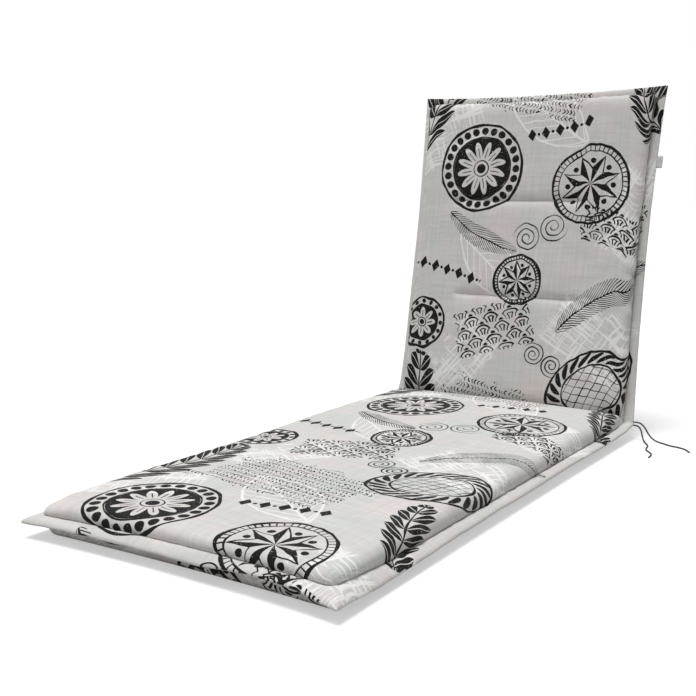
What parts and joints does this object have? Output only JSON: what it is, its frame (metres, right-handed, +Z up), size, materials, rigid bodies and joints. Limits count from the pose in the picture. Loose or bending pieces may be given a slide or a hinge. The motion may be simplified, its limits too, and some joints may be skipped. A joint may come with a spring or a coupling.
{
  "type": "sun lounger cushion",
  "caption": "Long filled lounger cushion with a flat sewn edge all round, a level seat and a raised back, and ties at the fold.",
  "frame": {"origin": "on the surface that the seat lies on, under the middle of the box round the cushion and its tab", "axes": "+Y from the foot end to the head end, +X towards the edge with the tab and the ties, +Z up"},
  "size_m": [0.7372, 1.3164, 0.764],
  "materials": {
    "printed_cover": "woven cloth in mottled greige with a black and off-white line print, matt",
    "label_tape": "folded woven tape, pale grey and blank",
    "tie_cord": "thin dark braided cord, matt"
  },
  "bodies": {
    "root": {"cushion": "printed_cover", "side_label": "label_tape", "lower_tie": "tie_cord", "upper_tie": "tie_cord"}
  },
  "joints": []
}
